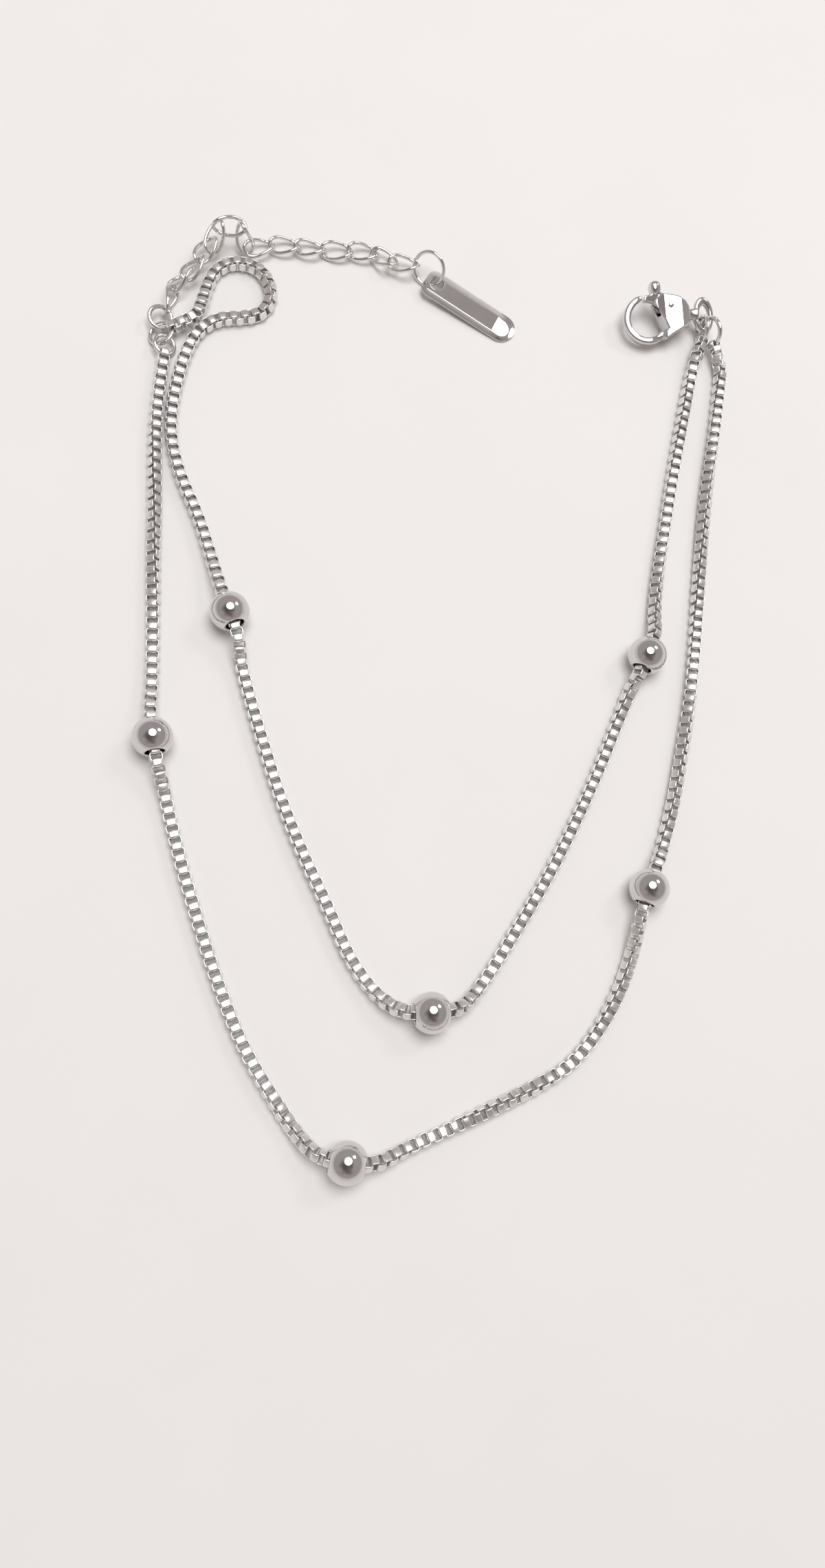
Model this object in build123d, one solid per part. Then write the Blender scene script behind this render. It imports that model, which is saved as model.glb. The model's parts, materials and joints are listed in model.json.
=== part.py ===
"""Two-strand box-chain anklet of stainless steel, unclasped and lying on a flat surface.

Millimetres, +Z up. The origin is at the middle of the footprint, on the surface it lies on.
"""
import os
from math import copysign, cos, pi, radians, sin, tan

from build123d import *

# ---- driving dimensions ----
CHAIN_WIDTH = 1.7          # box chain, across its links
STRIP_WIDTH = 1.0          # flat strip that each box link is bent from
STRIP_THICKNESS = 0.25
END_LINK_WIDTH = 1.25
END_LINK_BACK = 0.75       # how far the end link reaches past the ring's wire
BEAD_DIAMETER = 5.0
BEAD_BORE = 2.35
BEAD_RIM = 0.18            # rounding of the bore's edge
LINK_LENGTH = 4.8          # extender link
LINK_WIDTH = 2.8
LINK_WIRE = 0.5
LINK_TWIST = -40.0         # degrees, each way from the middle of the link
LINK_ROUNDNESS = 0.85      # 1 for an ellipse, less for a fuller oval
LINK_CORNERS = 8           # of the line that is rounded into half a link
RING_WIRE = 0.6
TAG_LENGTH = 14.4
TAG_WIDTH = 4.2
TAG_THICKNESS = 0.8
TAG_RIM = 0.45
TAG_RECESS = 0.2
TAG_HOLE = 1.9
TAG_HOLE_INSET = 1.8
TAG_CORNER = 1.2           # corners of the ringed end
TAG_EDGE = 0.12
BODY_EDGE = 0.3
EYE_EDGE = 0.25
KNOB_EDGE = 0.5
OVERLAP = 0.1              # pieces soldered together run this far into each other

ORIGIN_SHIFT = (0.55, 0.5, 0.0)    # puts the origin at the middle of the footprint
FLOOR_Z = CHAIN_WIDTH / 2  # axis of a strand that lies on the surface
BEAD_Z = BEAD_DIAMETER / 2

# ---- beads: centre on the surface (x, y), heading of the bore, and its climb in degrees ----
BEADS = {
    "outer_left": (-37.1, -10.9, -78.0, 6.0),
    "outer_bottom": (-13.0, -60.1, -8.0, 0.0),
    "outer_right": (24.2, -28.0, 70.0, 0.0),
    "inner_left": (-28.5, 5.7, -68.0, 8.0),
    "inner_bottom": (-3.2, -43.3, 4.0, 0.0),
    "inner_right": (25.4, 2.6, 66.0, 0.0),
}

# ---- strands: points of the route, in order from the left end. A name stands for a bead. ----
OUTER_ROUTE = [
    (-38.7, 37.6), (-39.0, 33.0), (-38.9, 27.5), (-38.5, 20.5), (-38.3, 13.2), (-37.9, 5.5), (-37.6, -3.8, 1.0),
    "outer_left",
    (-35.6, -16.9, 1.1), (-34.4, -21.5), (-32.75, -27.1), (-30.9, -32.6), (-29.0, -38.0), (-26.9, -43.3),
    (-24.6, -48.2), (-21.7, -52.8), (-18.9, -56.8, 1.0),
    "outer_bottom",
    (-6.6, -59.0, 1.0), (-2.0, -57.0), (4.0, -54.35), (9.2, -52.0), (13.5, -49.7), (17.0, -46.0),
    (20.0, -41.2), (22.0, -36.4, 0.9),
    "outer_right",
    (26.4, -23.3, 1.0), (28.2, -17.6), (29.8, -10.8), (31.4, -3.6), (32.5, 4.0), (33.4, 12.0),
    (34.5, 20.5), (35.8, 28.8), (37.3, 36.5), (38.3, 43.0), (38.9, 47.0, 1.0),
]
INNER_ROUTE = [
    (-34.7, 46.9, 1.95), (-34.1, 48.2, 1.7), (-33.6, 50.2, 1.3), (-33.1, 52.8), (-32.2, 55.2), (-30.0, 56.7),
    (-27.2, 56.5), (-25.2, 54.8), (-24.4, 51.8), (-25.7, 49.0), (-28.6, 48.2), (-31.4, 47.9), (-33.9, 46.1),
    (-35.4, 43.0), (-36.4, 39.0), (-37.1, 34.0), (-36.9, 29.2), (-35.4, 24.2), (-32.9, 18.9),
    (-31.2, 13.6, 0.95),
    "inner_left",
    (-27.0, -0.4, 1.1), (-25.7, -5.0), (-23.7, -11.4), (-21.6, -17.6), (-18.8, -24.3), (-15.5, -31.0),
    (-13.0, -36.8), (-9.9, -41.1, 1.0),
    "inner_bottom",
    (2.2, -41.3, 1.0), (4.6, -37.9), (8.0, -32.5), (11.8, -26.4), (15.2, -20.0), (18.4, -13.4),
    (21.3, -6.6), (23.4, -1.6, 1.1),
    "inner_right",
    (27.1, 8.6, 1.0), (27.9, 14.3), (29.2, 21.0), (30.5, 27.9), (32.0, 35.0), (33.5, 41.6), (34.6, 46.6, 1.1),
]
BEAD_RUN = 3.3             # the chain runs straight this far each side of a bead's middle

# ---- rings: centre, plane's normal, mean radius, wire ----
RINGS = {
    "left_ring_main": ((-39.06, 47.08, 1.17), (0.34, -0.2, 0.92), 1.5, RING_WIRE),
    "left_ring_middle": ((-38.88, 44.84, 1.03), (-0.39, 0.03, 0.92), 1.6, 0.55),
    "left_ring_outer": ((-38.35, 43.25, 0.95), (0.42, 0.0, 0.9), 1.35, 0.55),
    "tag_ring": ((-3.15, 57.6, 2.15), (-0.47, -0.7, 0.54), 2.2, 0.5),
    "clasp_ring_inner": ((35.96, 51.95, 2.07), (0.99, 0.04, -0.1), 1.7, RING_WIRE),
    "clasp_ring_outer": ((37.2, 51.6, 2.25), (0.91, 0.35, -0.24), 1.85, RING_WIRE),
}

# ---- extender links: middle, heading, climb and roll in degrees ----
EXTENDER = [
    (-38.0, 49.75, 1.4, 76, -2, -101), (-36.5, 52.8, 1.7, 42, 14, -43), (-35.05, 54.8, 1.7, 58, 3, -22),
    (-33.55, 57.6, 1.85, 61, 3, -6), (-32.35, 59.3, 2.4, 71, 31, -5), (-30.45, 60.3, 3.45, 3, 0, 47),
    (-28.45, 59.45, 2.4, -60, -66, 55), (-26.45, 59.2, 1.25, 23, -6, 2), (-22.95, 60.05, 1.0, 5, -2, -2),
    (-19.5, 60.0, 1.0, 0, 0, -9), (-15.85, 60.0, 0.95, 1, 2, 11), (-12.2, 60.2, 1.0, 1, -4, 4),
    (-9.25, 59.25, 1.25, -34, 13, 0), (-6.55, 58.45, 1.6, -4, 4, -2),
]

TAG_CENTRE = (2.8, 53.15, 0.92)
TAG_HEADING = -29.5
TAG_PITCH = -4.0           # the ringed end is propped up by the ring's wire

# ---- clasp, in its own plane: u towards the eye, v towards the gate, w across ----
CLASP_ORIGIN = (28.35, 52.85, 2.4)
CLASP_HEADING = 11.0
CLASP_LEAN = 20.0
HOOK_CENTRE = (-0.55, -0.2)
HOOK_OUTER = 3.45
HOOK_WIDTH = 0.92
HOOK_DEPTH = 1.5
HOOK_TIP_ANGLE = 101.0
HOOK_END_ANGLE = 314.0
BODY_OUTLINE = [(0.6, 2.0), (1.5, 3.0), (3.7, 2.45), (5.0, 1.7), (5.5, 0.9), (5.5, -1.0), (5.0, -1.7), (2.6, -2.8),
                (1.6, -3.35), (1.1, -2.6), (2.0, -1.9)]
BODY_DEPTH = 2.8
NECK = (1.5, 1.7, 1.1)     # along u, v and w
EYE_MIDDLE = (7.88, -0.35)
EYE_SIZE = (3.0, 5.1)
EYE_HOLE_MIDDLE = (7.88, -0.5)
EYE_HOLE = (1.35, 3.0)
EYE_DEPTH = 0.85
PIVOT = (2.6, 1.2)
PIN_DIAMETER = 0.8
PIN_CLEARANCE = 0.04
GATE_OUTLINE = [(-0.7, 2.98), (0.0, 3.0), (0.6, 3.3), (1.7, 3.3), (2.1, 2.6), (2.9, 1.95), (3.35, 1.3), (3.2, 0.75),
                (2.7, 0.45), (2.1, 0.55), (1.2, 1.4), (0.6, 1.9), (-0.2, 2.12), (-1.0, 2.2), (-0.88, 2.6)]
GATE_DEPTH = 1.1
KNOB_MIDDLE = (0.97, 4.0)
KNOB_SIZE = (1.9, 1.75, 1.8)
SLOT_OUTLINE = [(-0.2, 4.2), (-0.2, 0.1), (1.6, 0.1), (2.3, -0.1), (3.2, 0.0), (3.7, 0.8), (3.7, 1.6), (3.2, 2.3),
                (2.5, 3.2), (2.5, 4.2)]
GATE_SLOT = 1.4


def expand(route, beads):
    """Turns a strand's route into points, with a straight run through every bead."""
    points = []
    for stop in route:
        if isinstance(stop, str):
            x, y, heading, climb = beads[stop]
            along = Vector(1, 0, 0).rotate(Axis.Y, -climb).rotate(Axis.Z, heading)
            middle = Vector(x, y, BEAD_Z)
            points += [middle - along * BEAD_RUN, middle + along * BEAD_RUN]
        else:
            points.append(Vector(stop[0], stop[1], stop[2] if len(stop) > 2 else FLOOR_Z))
    return points


def arc_radii(points):
    """The largest radius that each corner's two runs allow."""
    radii = []
    for before, corner, after in zip(points, points[1:], points[2:]):
        turn = radians((corner - before).get_angle(after - corner))
        shorter = min((corner - before).length, (after - corner).length)
        radii.append(0.45 * shorter / tan(turn / 2))
    return radii


def end_link(rim, away, hole_axis, length):
    """The box link at a strand's end, which a jump ring's rim passes through."""
    frame = Plane(origin=rim + away * (length / 2 - END_LINK_BACK), x_dir=away, z_dir=hole_axis)
    outer = Box(length, END_LINK_WIDTH, STRIP_WIDTH)
    hole = Box(length - 2 * STRIP_THICKNESS, END_LINK_WIDTH - 2 * STRIP_THICKNESS, 2 * STRIP_WIDTH)
    return frame.location * fillet((outer - hole).edges().filter_by(Axis.Z), 0.2)


def strand(name, route, rings):
    """A strand's tube along its route, with the end links round their two rings."""
    points = expand(route, BEADS)
    ends = []
    for (ring_name, length), toward in zip(rings, (points[0], points[-1])):
        centre, normal, radius, _ = RINGS[ring_name]
        normal = Vector(*normal).normalized()
        out = toward - Vector(*centre)
        out = (out - normal * out.dot(normal)).normalized()
        ends.append((Vector(*centre) + out * radius, out, normal.cross(out), length))
    first, last = (rim + out * (length - END_LINK_BACK - OVERLAP) for rim, out, _, length in ends)
    points = [first] + points + [last]
    radii = arc_radii(points)
    path = FilletPolyline(*points, radius=radii)
    solid = sweep(Plane(origin=path @ 0, z_dir=path % 0) * Circle(CHAIN_WIDTH / 2), path=path)
    section = pi * (CHAIN_WIDTH / 2) ** 2
    print(f"{name}: length {path.length:.1f} mm, volume over section x length",
          f"{solid.volume / (section * path.length):.4f}, radii",
          " ".join(f"{radius:.1f}" for radius in radii))
    for end in ends:
        solid += end_link(*end)
    return solid


def bead(name):
    x, y, heading, climb = BEADS[name]
    ball = Sphere(BEAD_DIAMETER / 2) - Cylinder(BEAD_BORE / 2, 2 * BEAD_DIAMETER)
    ball = fillet(ball.edges().filter_by(GeomType.CIRCLE), BEAD_RIM)
    along = Vector(1, 0, 0).rotate(Axis.Y, -climb).rotate(Axis.Z, heading)
    return Plane(origin=(x, y, BEAD_Z), z_dir=along).location * ball


def ring(name):
    centre, normal, radius, wire = RINGS[name]
    return Plane(origin=centre, z_dir=normal).location * Torus(radius, wire / 2)


def power(value, exponent):
    return copysign(abs(value) ** exponent, value)


def curb_link(middle, heading, climb, roll):
    """An oval wire link whose two ends are twisted against each other."""
    half_length = (LINK_LENGTH - LINK_WIRE) / 2
    half_width = (LINK_WIDTH - LINK_WIRE) / 2
    corners = []
    for step in range(LINK_CORNERS + 1):
        angle = pi * (step / LINK_CORNERS - 0.5)
        reach = power(cos(angle), LINK_ROUNDNESS)
        side = half_width * power(sin(angle), LINK_ROUNDNESS)
        twist = radians(LINK_TWIST) * reach
        corners.append(Vector(half_length * reach, side * cos(twist), side * sin(twist)))
    path = FilletPolyline(*corners, radius=arc_radii(corners))
    half = sweep(Plane(origin=path @ 0, z_dir=path % 0) * Circle(LINK_WIRE / 2), path=path)
    wire = half + Rot(0, 180, 0) * half
    return Pos(*middle) * Rot(0, 0, heading) * Rot(0, -climb, 0) * Rot(roll, 0, 0) * wire


def tag_outline(inset):
    """The tag's outline: round at the free end, squarer at the ringed end."""
    width = TAG_WIDTH - 2 * inset
    rounded = SlotOverall(TAG_LENGTH - 2 * inset, width)
    square = Pos(inset / 2 - TAG_LENGTH / 4, 0) * RectangleRounded(TAG_LENGTH / 2 - inset, width, TAG_CORNER - inset)
    return rounded + square


def tag():
    """Oblong tag with a raised rim and a hole for its ring."""
    plate = extrude(tag_outline(0), TAG_THICKNESS)
    plate -= Pos(0, 0, TAG_THICKNESS - TAG_RECESS) * extrude(tag_outline(TAG_RIM), TAG_RECESS)
    plate = fillet(plate.edges().group_by(Axis.Z)[-1], TAG_EDGE)
    plate -= Pos(TAG_HOLE_INSET - TAG_LENGTH / 2, 0, 0) * Cylinder(TAG_HOLE / 2, 4 * TAG_THICKNESS)
    pose = Pos(*TAG_CENTRE) * Rot(0, 0, TAG_HEADING) * Rot(0, -TAG_PITCH, 0)
    return pose * Pos(0, 0, -TAG_THICKNESS / 2) * plate


def clasp_frame():
    return Pos(*CLASP_ORIGIN) * Rot(0, 0, CLASP_HEADING) * Rot(CLASP_LEAN, 0, 0)


def slab(outline, depth):
    """A flat piece of the clasp, drawn in its plane and as deep each way."""
    return extrude(make_face(Polyline(*outline, close=True)), depth / 2, both=True)


def clasp_body():
    sweep_angle = HOOK_END_ANGLE - HOOK_TIP_ANGLE
    path = CenterArc(HOOK_CENTRE, HOOK_OUTER - HOOK_WIDTH / 2, HOOK_TIP_ANGLE, sweep_angle)
    section = Plane(origin=path @ 0, x_dir=(0, 0, 1), z_dir=path % 0) * Ellipse(HOOK_DEPTH / 2, HOOK_WIDTH / 2)
    hook = sweep(section, path=path)
    block = slab(BODY_OUTLINE, BODY_DEPTH)
    block = fillet(block.edges().group_by(Axis.Z)[0] + block.edges().group_by(Axis.Z)[-1], BODY_EDGE)
    eye = extrude(Pos(*EYE_MIDDLE) * Ellipse(EYE_SIZE[0] / 2, EYE_SIZE[1] / 2)
                  - Pos(*EYE_HOLE_MIDDLE) * Ellipse(EYE_HOLE[0] / 2, EYE_HOLE[1] / 2), EYE_DEPTH / 2, both=True)
    eye = fillet(eye.edges(), EYE_EDGE)
    neck = Pos(BODY_OUTLINE[4][0] + NECK[0] / 2 - 0.3, 0, 0) * Box(*NECK)
    neck = fillet(neck.edges().filter_by(Axis.X), BODY_EDGE)
    solid = hook + block + neck + eye
    solid -= slab(SLOT_OUTLINE, GATE_SLOT)
    solid -= Pos(*PIVOT) * Cylinder(PIN_DIAMETER / 2, 2 * BODY_DEPTH)
    return clasp_frame() * solid


def clasp_gate():
    lever = slab(GATE_OUTLINE, GATE_DEPTH)
    knob = Pos(*KNOB_MIDDLE) * Box(*KNOB_SIZE)
    knob = fillet(knob.edges(), KNOB_EDGE)
    lever += knob
    lever -= Pos(*PIVOT) * Cylinder(PIN_DIAMETER / 2 + PIN_CLEARANCE, 2 * BODY_DEPTH)
    return clasp_frame() * lever


def clasp_pin():
    return clasp_frame() * Pos(*PIVOT) * Cylinder(PIN_DIAMETER / 2, BODY_DEPTH)


def main():
    nodes = {
        "outer_chain": strand("outer_chain", OUTER_ROUTE, (("left_ring_outer", 2.0), ("clasp_ring_outer", 2.0))),
        "inner_chain": strand("inner_chain", INNER_ROUTE, (("left_ring_middle", 2.4), ("clasp_ring_inner", 2.0))),
    }
    for name in BEADS:
        nodes["bead_" + name] = bead(name)
    for name in RINGS:
        nodes[name] = ring(name)
    for index, (x, y, z, heading, climb, roll) in enumerate(EXTENDER, 1):
        nodes[f"extender_link_{index:02d}"] = curb_link((x, y, z), heading, climb, roll)
    nodes["tag"] = tag()
    nodes["clasp_body"] = clasp_body()
    nodes["clasp_gate"] = clasp_gate()
    nodes["clasp_pin"] = clasp_pin()
    os.makedirs("parts", exist_ok=True)
    low, high = [1e9] * 3, [-1e9] * 3
    for name, solid in nodes.items():
        solid = Pos(*ORIGIN_SHIFT) * solid
        export_step(solid, f"parts/{name}.step")
        box = solid.bounding_box()
        low = [min(pair) for pair in zip(low, box.min)]
        high = [max(pair) for pair in zip(high, box.max)]
        print(f"{name}: {solid.volume:.2f} mm3, solids {len(solid.solids())}, lowest {box.min.Z:.2f}")
    print("box", [round(value, 2) for value in low], [round(value, 2) for value in high])


if __name__ == "__main__":
    main()
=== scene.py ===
"""Two-strand box-chain anklet of stainless steel: the visible pieces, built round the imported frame."""

import json
import math
from itertools import pairwise

import bmesh
import bpy
import numpy as np
from mathutils import Matrix, Vector

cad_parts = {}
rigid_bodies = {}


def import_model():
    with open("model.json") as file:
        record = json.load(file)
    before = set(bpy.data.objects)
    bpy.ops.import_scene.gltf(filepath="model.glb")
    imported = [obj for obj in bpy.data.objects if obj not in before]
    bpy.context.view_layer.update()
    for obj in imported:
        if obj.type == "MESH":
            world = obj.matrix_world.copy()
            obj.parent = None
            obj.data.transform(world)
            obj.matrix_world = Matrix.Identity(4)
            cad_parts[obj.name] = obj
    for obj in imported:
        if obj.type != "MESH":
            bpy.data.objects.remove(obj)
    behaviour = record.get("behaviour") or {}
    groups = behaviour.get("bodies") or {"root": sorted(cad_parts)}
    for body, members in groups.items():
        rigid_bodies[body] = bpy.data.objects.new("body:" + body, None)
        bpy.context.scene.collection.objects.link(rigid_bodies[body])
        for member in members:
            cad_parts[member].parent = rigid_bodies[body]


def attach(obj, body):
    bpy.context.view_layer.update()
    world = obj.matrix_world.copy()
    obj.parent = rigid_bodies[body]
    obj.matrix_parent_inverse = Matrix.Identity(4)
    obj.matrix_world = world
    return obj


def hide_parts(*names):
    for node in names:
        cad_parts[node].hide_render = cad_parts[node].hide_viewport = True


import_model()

bl_info = {
    "name": "Two-strand chain anklet",
    "version": (1, 0, 0),
    "blender": (4, 5, 0),
    "location": "View3D > Sidebar > Anklet",
    "description": "Builds a box-chain anklet with ball beads, a curb-link extender, a tag and a lobster clasp",
    "category": "Add Mesh",
}

MM = 0.001
ORIGIN_SHIFT = np.array([0.55, 0.5, 0.0])  # from the tables' origin to the frame's, mm

# ---- beads: centre on the surface (x, y), heading and climb of the bore, degrees ----
BEADS = {
    "outer_left": (-37.1, -10.9, -78.0, 6.0),
    "outer_bottom": (-13.0, -60.1, -8.0, 0.0),
    "outer_right": (24.2, -28.0, 70.0, 0.0),
    "inner_left": (-28.5, 5.7, -68.0, 8.0),
    "inner_bottom": (-3.2, -43.3, 4.0, 0.0),
    "inner_right": (25.4, 2.6, 66.0, 0.0),
}
BEAD_Z = 2.5
BEAD_RUN = 3.3  # the chain runs straight this far each side of a bead's middle

# ---- box links: the small shapes that aren't settings, mm and degrees ----
PLATE_DOME = 4.0  # how far a plate's sides lean back from its middle
PLATE_RISE = 0.01  # how far its middle then stands up
EDGE_ROUNDING = 0.3  # of the strip's skin, where the edge turns
STRIP_REACH = 0.49  # half the strip, less its rounded edge
ROLL_SCATTER = 1.3  # how unevenly links lie against each other
HELD_LINKS = 8  # links over which a strand turns to fit its end ring
RING_PLAY = 0.03  # between an end link's middle and its ring's wire

# ---- strands from their left end: x, y, z and the links' roll there; at a bead, the roll going in and out ----
STRANDS = {
    "outer_chain": {
        "rings": ("left_ring_outer", "clasp_ring_outer"),
        "route": [
            (-38.7, 37.6, 0.85, -12), (-39.0, 33.0, 0.85, -20), (-38.9, 27.5, 0.85, -30), (-38.5, 20.5, 0.85, -44),
            (-38.3, 13.2, 0.85, -60), (-37.9, 5.5, 0.85, -84), (-37.6, -3.8, 1.0, -96),
            ("outer_left", -108, -99),
            (-35.6, -16.9, 1.1, -95), (-34.4, -21.5, 0.85, -93), (-32.75, -27.1, 0.85, -91),
            (-30.9, -32.6, 0.85, -89), (-29.0, -38.0, 0.85, -89), (-26.9, -43.3, 0.85, -91),
            (-24.6, -48.2, 0.85, -93), (-21.7, -52.8, 0.85, -110), (-18.9, -56.8, 1.0, -132),
            ("outer_bottom", -140, -126),
            (-6.6, -59.0, 1.0, -112), (-2.0, -57.0, 0.85, -98), (4.0, -54.35, 0.85, -64), (9.2, -52.0, 0.85, -36),
            (13.5, -49.7, 0.85, -9), (17.0, -46.0, 0.85, 0), (20.0, -41.2, 0.85, 17), (22.0, -36.4, 0.9, 30),
            ("outer_right", 62, 88),
            (26.4, -23.3, 1.0, 93), (28.2, -17.6, 0.85, 115), (29.8, -10.8, 0.85, 134), (31.4, -3.6, 0.85, 153),
            (32.5, 4.0, 0.85, 175), (33.4, 12.0, 0.85, 194), (34.5, 20.5, 0.85, 215), (35.8, 28.8, 0.85, 235),
            (37.3, 36.5, 0.85, 258), (38.3, 43.0, 0.85, 278), (38.9, 47.0, 1.0, 290),
        ],
    },
    "inner_chain": {
        "rings": ("left_ring_middle", "clasp_ring_inner"),
        "route": [
            (-34.7, 46.9, 1.95, 15), (-34.1, 48.2, 1.7, 3), (-33.6, 50.2, 1.3, -2), (-33.1, 52.8, 0.85, -3),
            (-32.2, 55.2, 0.85, -2), (-30.0, 56.7, 0.85, -6), (-27.2, 56.5, 0.85, -13), (-25.2, 54.8, 0.85, -31),
            (-24.4, 51.8, 0.85, -62), (-25.7, 49.0, 0.85, -74), (-28.6, 48.2, 0.85, -78), (-31.4, 47.9, 0.85, -84),
            (-33.9, 46.1, 0.85, -92), (-35.4, 43.0, 0.85, -99), (-36.4, 39.0, 0.85, -106),
            (-37.1, 34.0, 0.85, -104), (-36.9, 29.2, 0.85, -98), (-35.4, 24.2, 0.85, -95), (-32.9, 18.9, 0.85, -98),
            (-31.2, 13.6, 0.95, -97),
            ("inner_left", -95, -88),
            (-27.0, -0.4, 1.1, -95), (-25.7, -5.0, 0.85, -97), (-23.7, -11.4, 0.85, -97), (-21.6, -17.6, 0.85, -96),
            (-18.8, -24.3, 0.85, -96), (-15.5, -31.0, 0.85, -95), (-13.0, -36.8, 0.85, -96), (-9.9, -41.1, 1.0, -104),
            ("inner_bottom", -122, -126),
            (2.2, -41.3, 1.0, -110), (4.6, -37.9, 0.85, -95), (8.0, -32.5, 0.85, -86), (11.8, -26.4, 0.85, -85),
            (15.2, -20.0, 0.85, -85), (18.4, -13.4, 0.85, -86), (21.3, -6.6, 0.85, -83), (23.4, -1.6, 1.1, -59),
            ("inner_right", -52, -61),
            (27.1, 8.6, 1.0, -55), (27.9, 14.3, 0.85, -30), (29.2, 21.0, 0.85, -12), (30.5, 27.9, 0.85, -5),
            (32.0, 35.0, 0.85, 13), (33.5, 41.6, 0.85, 18), (34.6, 46.6, 1.1, -3),
        ],
    },
}

# ---- rings: centre, plane's normal, mean radius, wire, and where its butt joint is, degrees ----
RINGS = {
    "left_ring_main": ((-39.06, 47.08, 1.17), (0.34, -0.2, 0.92), 1.5, 0.6, 160),
    "left_ring_middle": ((-38.88, 44.84, 1.03), (-0.39, 0.03, 0.92), 1.6, 0.55, 215),
    "left_ring_outer": ((-38.35, 43.25, 0.95), (0.42, 0.0, 0.9), 1.35, 0.55, 15),
    "tag_ring": ((-3.15, 57.6, 2.15), (-0.47, -0.7, 0.54), 2.2, 0.5, 120),
    "clasp_ring_inner": ((35.96, 51.95, 2.07), (0.99, 0.04, -0.1), 1.7, 0.6, 200),
    "clasp_ring_outer": ((37.2, 51.6, 2.25), (0.91, 0.35, -0.24), 1.85, 0.6, 250),
}

# ---- extender links: middle, heading, climb and roll in degrees ----
EXTENDER = [
    (-38.0, 49.75, 1.4, 76, -2, -101), (-36.5, 52.8, 1.7, 42, 14, -43), (-35.05, 54.8, 1.7, 58, 3, -22),
    (-33.55, 57.6, 1.85, 61, 3, -6), (-32.35, 59.3, 2.4, 71, 31, -5), (-30.45, 60.3, 3.45, 3, 0, 47),
    (-28.45, 59.45, 2.4, -60, -66, 55), (-26.45, 59.2, 1.25, 23, -6, 2), (-22.95, 60.05, 1.0, 5, -2, -2),
    (-19.5, 60.0, 1.0, 0, 0, -9), (-15.85, 60.0, 0.95, 1, 2, 11), (-12.2, 60.2, 1.0, 1, -4, 4),
    (-9.25, 59.25, 1.25, -34, 13, 0), (-6.55, 58.45, 1.6, -4, 4, -2),
]

# ---- tag: its place and tilt, and how its ground faces lie ----
TAG_CENTRE = (2.8, 53.15, 0.92)
TAG_HEADING = -29.5
TAG_PITCH = -4.0
PANEL_SHIFT = 0.4  # the panel lies this much nearer one long side
END_FALL = 0.98  # of the bevel's drop, that the end facet falls
END_SKEW = 0.025  # the end facet's slope across the tag

# ---- clasp, in its own plane: u towards the eye, v towards the gate, w across ----
CLASP_ORIGIN = (28.35, 52.85, 2.4)
CLASP_HEADING = 11.0
CLASP_LEAN = 20.0
HOOK_CENTRE = (-0.55, -0.2)
HOOK_ANGLES = (101.0, 314.0)
BODY_OUTLINE = [(0.6, 2.0), (1.5, 3.0), (3.7, 2.45), (5.0, 1.7), (5.5, 0.9), (5.5, -1.0), (5.0, -1.7), (2.6, -2.8),
                (1.6, -3.35), (1.1, -2.6), (2.0, -1.9)]
SLOT_OUTLINE = [(-0.2, 4.2), (-0.2, 0.1), (1.6, 0.1), (2.3, -0.1), (3.2, 0.0), (3.7, 0.8), (3.7, 1.6), (3.2, 2.3),
                (2.5, 3.2), (2.5, 4.2)]
GATE_OUTLINE = [(-0.7, 2.98), (0.0, 3.0), (0.6, 3.3), (1.7, 3.3), (2.1, 2.6), (2.9, 1.95), (3.35, 1.3), (3.2, 0.75),
                (2.7, 0.45), (2.1, 0.55), (1.2, 1.4), (0.6, 1.9), (-0.2, 2.12), (-1.0, 2.2), (-0.88, 2.6)]
KNOB = {"middle": (0.97, 3.84, 0.0), "half": (0.84, 1.06, 0.9)}
EYE = {"middle": (7.88, -0.35), "size": (3.0, 5.1), "hole_middle": (7.88, -0.5), "hole": (1.35, 3.0)}
PIVOT = (2.6, 1.2)
FACE_START = 0.75  # w above which the casting's face is dressed to its slopes
PIN_SLOPE = 0.135  # the rivet's head is dressed with the face round it

# ---- camera: its place, mm, and its view in units of which the frame is 2280 long ----
CAMERA_PLACE = (-24.729, -48.887, 142.0)
NADIR = (-250.0, 410.0)  # where the plumb line under the camera meets the frame
FOCAL = 1713.0
FRAME_LONG = 2280.0
SENSOR = 36.0

# ---- lamps: the way to each, its distance and size in metres; and the tint of both ----
TOP_LAMP = ((0.045, 0.176, 1.0), 0.8, 0.56)
SIDE_LAMP = ((0.57, 0.47, 0.68), 0.8, 0.2)
LAMP_TINT = (0.965, 0.99, 1.0)
DARK_WAY = (-0.04, -0.22, 0.97)  # the way to the darkest side of the room


# ---- numbers a user would change ----

class StrandSettings(bpy.types.PropertyGroup):
    """Sizes of the box links."""

    pitch: bpy.props.FloatProperty(name="Pitch", description="Distance from one box link to the next",
                                   default=0.75 * MM, min=0.1 * MM, unit="LENGTH")
    length: bpy.props.FloatProperty(name="Length", description="Box link along the chain",
                                    default=1.2 * MM, unit="LENGTH")
    width: bpy.props.FloatProperty(name="Width", description="Box link across the chain",
                                   default=1.7 * MM, unit="LENGTH")
    strip: bpy.props.FloatProperty(name="Strip width", description="Width of the strip a link is bent from",
                                   default=1.1 * MM, unit="LENGTH")
    thickness: bpy.props.FloatProperty(name="Strip thickness", description="Thickness of that strip",
                                       default=0.22 * MM, unit="LENGTH")
    corner: bpy.props.FloatProperty(name="Bend", description="Radius of the link's bends on the strip's middle",
                                    default=0.26 * MM, unit="LENGTH")
    crown: bpy.props.FloatProperty(name="Crown", description="How far a plate's middle stands above its edges",
                                   default=0.04 * MM, unit="LENGTH")


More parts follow.
